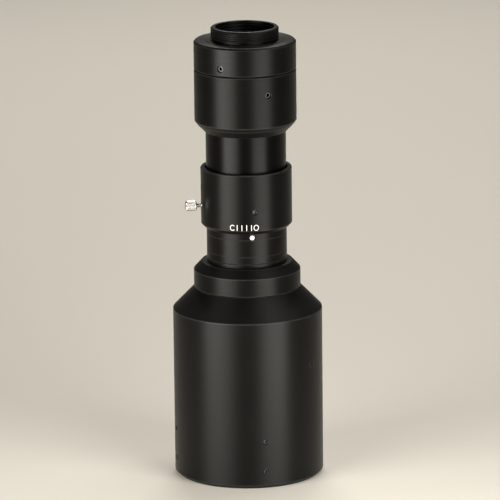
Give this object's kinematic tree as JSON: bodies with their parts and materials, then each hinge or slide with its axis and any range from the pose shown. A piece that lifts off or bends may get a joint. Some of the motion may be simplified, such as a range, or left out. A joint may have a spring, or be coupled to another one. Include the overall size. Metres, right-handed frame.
{
  "type": "telecentric lens",
  "caption": "Black telecentric machine-vision lens standing on its wide objective barrel, with an iris ring, a thumb screw and a turning camera mount with a one-inch thread.",
  "frame": {"origin": "on the optical axis, in the plane of the objective rim that the lens stands on", "axes": "+Z along the optical axis towards the camera; -Y is the front, with the index dot"},
  "size_m": [0.056, 0.056, 0.1706],
  "materials": {
    "black_anodised": "satin black anodised",
    "cam_brass": "blackened",
    "blued_steel": "matt blackened spring steel",
    "pin_steel": "ground",
    "screw_steel": "black oxide",
    "thumb_chrome": "bright plated",
    "optical_glass": "coated"
  },
  "bodies": {
    "housing": {"objective_barrel": "black_anodised", "barrel_plug": "black_anodised", "coupling_ring": "black_anodised", "neck_lock_ring": "black_anodised", "aperture_barrel": "black_anodised", "index_ring": "black_anodised", "relay_barrel": "black_anodised", "camera_adapter": "black_anodised", "objective_spacer": "black_anodised", "objective_cell": "black_anodised", "objective_retaining_ring": "black_anodised", "objective_baffle": "black_anodised", "iris_base_plate": "black_anodised", "iris_cover_ring": "black_anodised", "iris_housing": "black_anodised", "rear_spacer": "black_anodised", "rear_retaining_ring": "black_anodised", "rear_cell": "black_anodised", "cell_lock_ring": "black_anodised", "iris_pivot_pins": "pin_steel", "barrel_set_screws": "screw_steel", "adapter_set_screws": "screw_steel", "objective_crown": "optical_glass", "objective_flint": "optical_glass", "objective_meniscus": "optical_glass", "rear_meniscus": "optical_glass", "rear_crown": "optical_glass", "rear_flint": "optical_glass"},
    "iris_ring": {"iris_sleeve": "black_anodised", "iris_drive_screw": "pin_steel", "sleeve_set_screw": "screw_steel", "iris_cam_ring": "cam_brass"},
    "camera_mount": {"camera_mount_ring": "black_anodised", "mount_set_screws": "screw_steel"},
    "thumb_screw": {"thumb_screw": "thumb_chrome"},
    "iris_blade_1": {"iris_blade_1": "blued_steel"},
    "iris_blade_2": {"iris_blade_2": "blued_steel"},
    "iris_blade_3": {"iris_blade_3": "blued_steel"},
    "iris_blade_4": {"iris_blade_4": "blued_steel"},
    "iris_blade_5": {"iris_blade_5": "blued_steel"},
    "iris_blade_6": {"iris_blade_6": "blued_steel"},
    "iris_blade_7": {"iris_blade_7": "blued_steel"},
    "iris_blade_8": {"iris_blade_8": "blued_steel"}
  },
  "joints": [
    {"name": "iris_turn", "type": "hinge", "parent": "housing", "child": "iris_ring", "pos_m": [0, 0, 0.1062], "axis": [0, 0, 1], "range_deg": [-4.3, 25.7]},
    {"name": "mount_turn", "type": "hinge", "parent": "housing", "child": "camera_mount", "pos_m": [0, 0, 0.16], "axis": [0, 0, 1], "continuous": true},
    {"name": "thumb_screw_turn", "type": "hinge", "parent": "iris_ring", "child": "thumb_screw", "pos_m": [-0.02064, -0.00386, 0.1034], "axis": [-0.9829, -0.184, 0], "range_deg": [0, 360]},
    {"name": "iris_blade_1_turn", "type": "hinge", "parent": "housing", "child": "iris_blade_1", "pos_m": [0.0104, 0, 0.1072], "axis": [0, 0, 1], "range_deg": [-3.44, 20.56]},
    {"name": "iris_blade_2_turn", "type": "hinge", "parent": "housing", "child": "iris_blade_2", "pos_m": [0.00735, 0.00735, 0.1072], "axis": [0, 0, 1], "range_deg": [-3.44, 20.56]},
    {"name": "iris_blade_3_turn", "type": "hinge", "parent": "housing", "child": "iris_blade_3", "pos_m": [0, 0.0104, 0.1072], "axis": [0, 0, 1], "range_deg": [-3.44, 20.56]},
    {"name": "iris_blade_4_turn", "type": "hinge", "parent": "housing", "child": "iris_blade_4", "pos_m": [-0.00735, 0.00735, 0.1072], "axis": [0, 0, 1], "range_deg": [-3.44, 20.56]},
    {"name": "iris_blade_5_turn", "type": "hinge", "parent": "housing", "child": "iris_blade_5", "pos_m": [-0.0104, 0, 0.1072], "axis": [0, 0, 1], "range_deg": [-3.44, 20.56]},
    {"name": "iris_blade_6_turn", "type": "hinge", "parent": "housing", "child": "iris_blade_6", "pos_m": [-0.00735, -0.00735, 0.1072], "axis": [0, 0, 1], "range_deg": [-3.44, 20.56]},
    {"name": "iris_blade_7_turn", "type": "hinge", "parent": "housing", "child": "iris_blade_7", "pos_m": [0, -0.0104, 0.1072], "axis": [0, 0, 1], "range_deg": [-3.44, 20.56]},
    {"name": "iris_blade_8_turn", "type": "hinge", "parent": "housing", "child": "iris_blade_8", "pos_m": [0.00735, -0.00735, 0.1072], "axis": [0, 0, 1], "range_deg": [-3.44, 20.56]}
  ],
  "couplings": [
    {"joint": "iris_blade_1_turn", "follows": "iris_turn", "ratio": 0.8},
    {"joint": "iris_blade_2_turn", "follows": "iris_turn", "ratio": 0.8},
    {"joint": "iris_blade_3_turn", "follows": "iris_turn", "ratio": 0.8},
    {"joint": "iris_blade_4_turn", "follows": "iris_turn", "ratio": 0.8},
    {"joint": "iris_blade_5_turn", "follows": "iris_turn", "ratio": 0.8},
    {"joint": "iris_blade_6_turn", "follows": "iris_turn", "ratio": 0.8},
    {"joint": "iris_blade_7_turn", "follows": "iris_turn", "ratio": 0.8},
    {"joint": "iris_blade_8_turn", "follows": "iris_turn", "ratio": 0.8}
  ]
}
